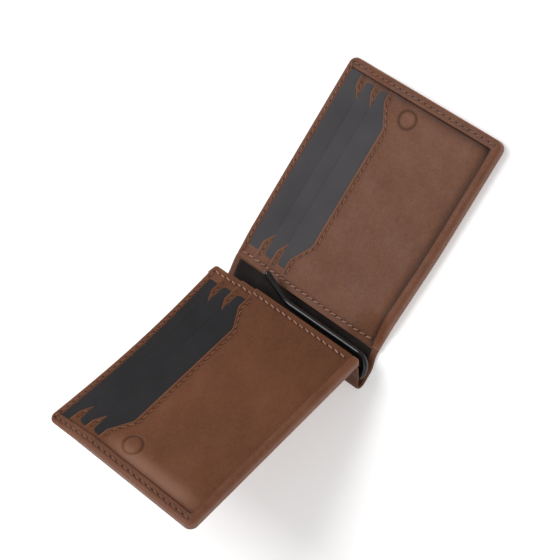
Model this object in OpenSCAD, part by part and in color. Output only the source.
// Bifold card holder with a swinging wire note clip in its spine.
// Millimetres, +Z up. Origin: centre of the back panel's outer face, which lies on z = 0.
// The spine runs along Y. The back panel lies flat, and the front panel stands half open.

/* [Panels] */
// length of a panel, from its spine edge to its outer edge
panel_len = 96; // [90:0.5:105]
// width of a panel, along the spine
panel_w = 78; // [70:0.5:90]
// corner radius at the outer edge
corner_outer = 3; // [1:0.5:6]
// corner radius at the spine edge
corner_spine = 1.6; // [0.5:0.1:3]
// thickness of the cover leather
cover_t = 0.9; // [0.6:0.1:1.4]
// thickness of the pocket linings
lining_t = 0.15; // [0.1:0.05:0.4]
// thickness of the leather of the two stepped pockets
facing_t = 0.4; // [0.3:0.1:0.8]
// thickness of the leather of the front pocket
front_facing_t = 0.5; // [0.3:0.1:0.9]
// clear height of a card slot
slot_gap = 0.8; // [0.78:0.01:1.2]

/* [Turned edges] */
// width of the turned edge at the outer end
end_edge_w = 4.7; // [3:0.1:7]
// width of the turned edge at the closed side
side_edge_w = 3; // [2:0.1:6]
// width of the low turned edge at the mouth side
mouth_edge_w = 2.8; // [2:0.1:5]
// height of the turned edge over the leather inside it
edge_step = 0.4; // [0.2:0.05:0.8]
// width of the sewn seam along the spine edge
seam_w = 3.9; // [3:0.1:6]

/* [Pockets] */
// distance from the mouth side to the first pocket
pocket_first = 7.5; // [5:0.1:12]
// step from one pocket to the next
pocket_step = 7.95; // [6:0.05:12]
// depth of the cut-out in a pocket's mouth
mouth_dip = 5.7; // [3:0.1:9]
// start of the cut-out, from the spine edge
mouth_in = 11; // [8:0.5:20]
// length of each sloping side of the cut-out
mouth_slope = 9.5; // [5:0.5:15]
// distance from the spine edge to the linings
lining_in = 6.5; // [4.5:0.1:9]
// distance from a pocket's corner to the lining on it
lining_lag = 3.6; // [2:0.1:5]

/* [Stitching] */
// length of one stitch
stitch_len = 2.1; // [1.5:0.1:4]
// distance from one stitch to the next
stitch_pitch = 3.15; // [2.5:0.05:5]
// radius of the thread
thread_r = 0.24; // [0.15:0.01:0.5]
// distance from a leather edge to its stitch line
stitch_in = 1.95; // [1:0.05:3]
// distance from the outer edge to the stitch line there
end_stitch_in = 2.4; // [1.5:0.1:4]

/* [Fold] */
// rise of the front panel over the level, as shown
front_rise = 35; // [0:1:90]
// slope of the line between the two hinge axes, as shown
spine_slope = 118; // [90:1:180]
// distance between the two hinge axes
spine_w = 15; // [14:0.5:20]
// gap from a panel's edge to the hinge axis beside it
hinge_out = 0.8; // [0.6:0.1:1.5]

/* [Spine] */
// thickness of the leather walls of the fold; its round bottom and rolled ends are full thickness
spine_t = 0.84; // [0.5:0.02:1.3]
// distance from the back hinge to the clip's axis, along X
lobe_x = 13.5; // [10:0.1:18]
// height of the clip's axis
lobe_z = 2.2; // [1.5:0.1:8]
// thickness of the spine lining
spine_lining_t = 0.5; // [0.3:0.1:1]
// wall of the leather tunnel round the wire
tunnel_t = 0.6; // [0.4:0.1:1.2]
// distance from each end of the spine to the tunnel
tunnel_in = 7.5; // [5:0.5:15]

/* [Clip] */
// diameter of the wire
wire_d = 2.8; // [2:0.1:4]
// radial clearance of the wire in the tunnel
tunnel_play = 0.05; // [0.01:0.01:0.1]
// distance between the two legs of the clip
clip_reach = 12.2; // [10:0.1:18]
// slope of the clip's plane, as shown
clip_slope = 30; // [10:1:80]
// radius of the two bends at the closed end
clip_bend = 5.5; // [3:0.5:6]
// distance from the end of the spine to the closed end's wire centre
clip_end_in = 0.8; // [0.5:0.1:6]
// free end of the hidden leg, from the mouth side
leg_end_in = 9; // [8:0.5:20]
// start of the kick in the gripping leg, from the mouth side
kick_start = 37; // [30:1:60]
// turn of the kick
kick_angle = 28; // [10:1:45]
// radius of the kick
kick_r = 12; // [6:1:30]
// straight length from the kick to the tip
kick_len = 11; // [5:0.5:25]
// amount by which the polished tip is thinner than the wire, on the radius
tip_taper = 0.06; // [0.01:0.01:0.2]

/* [Hidden] */
$fn = 48;
far = 200;
lap = 4;
tip_root = 0.6;
half_w = panel_w / 2;
open_len = panel_len - end_edge_w;
open_side = side_edge_w - half_w;
slot1_z = cover_t + lining_t + slot_gap;
slot2_z = slot1_z + facing_t + lining_t + slot_gap;
slot3_z = slot2_z + facing_t + lining_t + slot_gap;
panel_t = slot3_z + front_facing_t;
edge_top = panel_t + edge_step;
low_top = cover_t + edge_step;
pockets = [pocket_first, pocket_first + pocket_step, pocket_first + 2 * pocket_step];
skin = cover_t / 2;
hinge_a = [-panel_len / 2 - hinge_out, skin];
hinge_b = hinge_a + spine_w * [cos(spine_slope), sin(spine_slope)];
wire_r = wire_d / 2;
tip_r = wire_r - tip_taper;
bore_r = wire_r + tunnel_play;
tunnel_r = bore_r + tunnel_t;
lobe_r = tunnel_r + skin;
lobe = [hinge_a[0] - lobe_x, lobe_z];

function mouth_y(depth) = half_w - depth;
function turn_of(v) = atan2(v[1], v[0]);
function unit(angle) = [cos(angle), sin(angle)];
// point where a line from p touches the circle of radius r round c; side is 1 or -1
function tangent(p, c, r, side) =
    let (d = norm(p - c))
    c + r * unit(turn_of(p - c) + side * acos(r / d));

// places a panel's pieces: x from the spine edge, y along the spine, z from the outer face
module on_back() {
    translate([-panel_len / 2, 0, 0])
        children();
}

module on_front() {
    translate([hinge_b[0], 0, hinge_b[1]])
        rotate([0, front_rise, 0])
            translate([-hinge_out, 0, -skin])
                mirror([1, 0, 0])
                    children();
}

module panel_outline() {
    translate([corner_spine, -half_w])
        square([panel_len - corner_spine - corner_outer, panel_w]);
    translate([0, corner_spine - half_w])
        square([corner_spine, panel_w - 2 * corner_spine]);
    translate([panel_len - corner_outer, corner_outer - half_w])
        square([corner_outer, panel_w - 2 * corner_outer]);
    for (side = [-1, 1]) {
        translate([corner_spine, side * (half_w - corner_spine)])
            circle(corner_spine);
        translate([panel_len - corner_outer, side * (half_w - corner_outer)])
            circle(corner_outer);
    }
}

// cover with its turned edges: low at the mouth side, rising with the pockets
module cover() {
    color([0.41, 0.26, 0.17])
        difference() {
            linear_extrude(edge_top)
                panel_outline();
            translate([-1, open_side, cover_t])
                cube([open_len + 1, far, far]);
            translate([-1, -far, cover_t])
                cube([corner_spine + 1, far, far]);
            translate([-1, 0, 0])
                rotate([90, 0, 90])
                    linear_extrude(far)
                        polygon([[half_w + 1, low_top], [half_w - mouth_edge_w, low_top],
                            [mouth_y(pockets[2]), edge_top], [mouth_y(pockets[2]), far],
                            [half_w + 1, far]]);
        }
    color([0.41, 0.26, 0.17])
        translate([0, 0, cover_t])
            linear_extrude(edge_step)
                intersection() {
                    panel_outline();
                    polygon([[0, half_w], [0, mouth_y(pocket_first)],
                        [lining_in, mouth_y(pocket_first)], [lining_in, half_w - mouth_edge_w],
                        [open_len, half_w - mouth_edge_w], [open_len, half_w]]);
                }
}

module base_lining() {
    color([0.15, 0.15, 0.16])
        translate([lining_in, open_side, cover_t])
            cube([open_len - lining_in, half_w - mouth_edge_w - open_side, lining_t]);
}

module pocket_lining(depth, z) {
    color([0.15, 0.15, 0.16])
        translate([lining_in, open_side, z])
            cube([open_len - 2 - lining_in, mouth_y(depth + lining_lag) - open_side, lining_t]);
}

// pocket leather with its cut-out mouth, and the seam under it along the spine edge
module facing(depth, floor_z, z, t) {
    dip = mouth_y(depth + mouth_dip);
    color([0.41, 0.26, 0.17])
        intersection() {
            union() {
                translate([0, 0, z])
                    linear_extrude(t)
                        polygon([[0, open_side], [open_len, open_side], [open_len, mouth_y(depth)],
                            [open_len - mouth_in / 2, mouth_y(depth)],
                            [open_len - mouth_in / 2 - mouth_slope, dip],
                            [mouth_in + mouth_slope, dip], [mouth_in, mouth_y(depth)],
                            [0, mouth_y(depth)]]);
                translate([0, open_side, floor_z])
                    cube([seam_w, mouth_y(depth) - open_side, z - floor_z]);
            }
            linear_extrude(far)
                panel_outline();
        }
}

module slot_1_facing() {
    facing(pockets[0], cover_t, slot1_z, facing_t);
}

module slot_2_facing() {
    facing(pockets[1], slot1_z + facing_t, slot2_z, facing_t);
}

module slot_3_facing() {
    facing(pockets[2], slot2_z + facing_t, slot3_z, front_facing_t);
}

// row of stitches lying on a surface, from one point to another
module stitch_row(from, to, z) {
    span = to - from;
    count = floor((norm(span) - stitch_len) / stitch_pitch);
    step = span / norm(span) * stitch_pitch;
    for (i = [0:count])
        translate([from[0] + i * step[0], from[1] + i * step[1], z + thread_r])
            rotate([0, 90, turn_of(span)])
                cylinder(h = stitch_len, r = thread_r);
}

module edge_thread() {
    end_x = panel_len - end_stitch_in;
    seam_x = end_stitch_in + thread_r;
    color([0.5, 0.33, 0.24]) {
        stitch_row([seam_x, half_w - stitch_in], [end_x - corner_outer, half_w - stitch_in],
            low_top);
        stitch_row([end_x, mouth_y(pockets[2])], [end_x, corner_outer - half_w], edge_top);
        stitch_row([seam_x, mouth_y(pockets[2]) - 1], [seam_x, open_side], panel_t);
        stitch_row([seam_x, mouth_y(pockets[1]) - 1], [seam_x, mouth_y(pockets[2])],
            slot2_z + facing_t);
        stitch_row([seam_x, mouth_y(pockets[0]) - 1], [seam_x, mouth_y(pockets[1])],
            slot1_z + facing_t);
    }
}

module mouth_thread() {
    depth = mouth_y(pockets[2] + stitch_in);
    dip = depth - mouth_dip;
    first = mouth_in + mouth_slope;
    last = open_len - mouth_in / 2 - mouth_slope;
    color([0.5, 0.33, 0.24]) {
        stitch_row([seam_w + 1, depth], [mouth_in, depth], panel_t);
        stitch_row([mouth_in, depth - 1], [first, dip], panel_t);
        stitch_row([first + 1, dip], [last, dip], panel_t);
        stitch_row([last + 1, dip], [last + mouth_slope, depth - 1], panel_t);
    }
}

// stretches a flat shape in the XZ plane along the spine
module along_spine(len) {
    translate([0, len / 2, 0])
        rotate([90, 0, 0])
            linear_extrude(len)
                children();
}

module stroke(from, to, t) {
    span = to - from;
    translate(from)
        rotate(turn_of(span))
            translate([0, -t / 2])
                square([norm(span), t]);
}

// the fold of leather that joins the panels: two walls and a round bottom
module spine_leather() {
    back = tangent(hinge_a, lobe, lobe_r, -1);
    front = tangent(hinge_b, lobe, lobe_r, 1);
    color([0.37, 0.23, 0.15])
        along_spine(panel_w) {
            translate(hinge_a)
                circle(skin);
            translate(hinge_b)
                circle(skin);
            stroke(hinge_a, back, spine_t);
            stroke(hinge_b, front, spine_t);
            difference() {
                translate(lobe)
                    circle(lobe_r + skin);
                translate(lobe)
                    circle(lobe_r - skin);
                polygon([lobe, lobe + far * unit(turn_of(back - lobe) + lap),
                    lobe + far * unit(turn_of(hinge_a / 2 + hinge_b / 2 - lobe)),
                    lobe + far * unit(turn_of(front - lobe) - lap)]);
            }
        }
}

// lining on the inner side of each wall of the fold
module spine_lining() {
    inset = (spine_t + spine_lining_t) / 2;
    back = tangent(hinge_a, lobe, lobe_r, -1);
    front = tangent(hinge_b, lobe, lobe_r, 1);
    in_back = inset * (lobe - back) / lobe_r;
    in_front = inset * (lobe - front) / lobe_r;
    color([0.2, 0.14, 0.11])
        along_spine(panel_w - 1) {
            stroke(hinge_a * 0.8 + back * 0.2 + in_back, hinge_a * 0.2 + back * 0.8 + in_back,
                spine_lining_t);
            stroke(hinge_b * 0.8 + front * 0.2 + in_front, hinge_b * 0.2 + front * 0.8 + in_front,
                spine_lining_t);
        }
}

module clip_tunnel() {
    color([0.2, 0.14, 0.11])
        along_spine(panel_w - 2 * tunnel_in)
            translate(lobe)
                difference() {
                    circle(tunnel_r);
                    circle(bore_r);
                }
}

// one bend of the wire: centre, start angle and turn in the clip's plane
module wire_bend(centre, radius, start, turn) {
    translate([centre[0], centre[1], 0])
        rotate([0, 0, start])
            rotate_extrude(angle = turn)
                translate([radius, 0])
                    circle(wire_r);
}

// clip in its own plane: x across the two legs, y along the spine
module clip_wire() {
    low = clip_end_in - half_w;
    kick_y = mouth_y(kick_start);
    bent = [clip_reach + kick_r * (1 - cos(kick_angle)), kick_y + kick_r * sin(kick_angle)];
    color([0.08, 0.08, 0.09])
        translate([lobe[0], 0, lobe[1]])
            rotate([0, -clip_slope, 0]) {
                translate([0, mouth_y(leg_end_in), 0])
                    rotate([90, 0, 0])
                        cylinder(h = mouth_y(leg_end_in) - low - clip_bend, r = wire_r);
                wire_bend([clip_bend, low + clip_bend], clip_bend, 180, 90);
                translate([clip_bend, low, 0])
                    rotate([0, 90, 0])
                        cylinder(h = clip_reach - 2 * clip_bend, r = wire_r);
                wire_bend([clip_reach - clip_bend, low + clip_bend], clip_bend, 270, 90);
                translate([clip_reach, kick_y, 0])
                    rotate([90, 0, 0])
                        cylinder(h = kick_y - low - clip_bend, r = wire_r);
                wire_bend([clip_reach + kick_r, kick_y], kick_r, 180, -kick_angle);
                translate([bent[0], bent[1], 0])
                    rotate([-90, 0, -kick_angle]) {
                        translate([0, 0, -tip_root])
                            cylinder(h = kick_len + tip_root, r = tip_r);
                        translate([0, 0, kick_len])
                            sphere(tip_r);
                    }
            }
}

on_back() cover();  // back_cover
on_back() base_lining();  // back_base_lining
on_back() slot_1_facing();  // back_slot_1_facing
on_back() pocket_lining(pockets[0], slot1_z + facing_t);  // back_slot_2_lining
on_back() slot_2_facing();  // back_slot_2_facing
on_back() pocket_lining(pockets[1], slot2_z + facing_t);  // back_slot_3_lining
on_back() slot_3_facing();  // back_slot_3_facing
on_back() edge_thread();  // back_edge_thread
on_back() mouth_thread();  // back_mouth_thread
on_front() cover();  // front_cover
on_front() base_lining();  // front_base_lining
on_front() slot_1_facing();  // front_slot_1_facing
on_front() pocket_lining(pockets[0], slot1_z + facing_t);  // front_slot_2_lining
on_front() slot_2_facing();  // front_slot_2_facing
on_front() pocket_lining(pockets[1], slot2_z + facing_t);  // front_slot_3_lining
on_front() slot_3_facing();  // front_slot_3_facing
on_front() edge_thread();  // front_edge_thread
on_front() mouth_thread();  // front_mouth_thread
spine_leather();
spine_lining();
clip_tunnel();
clip_wire();
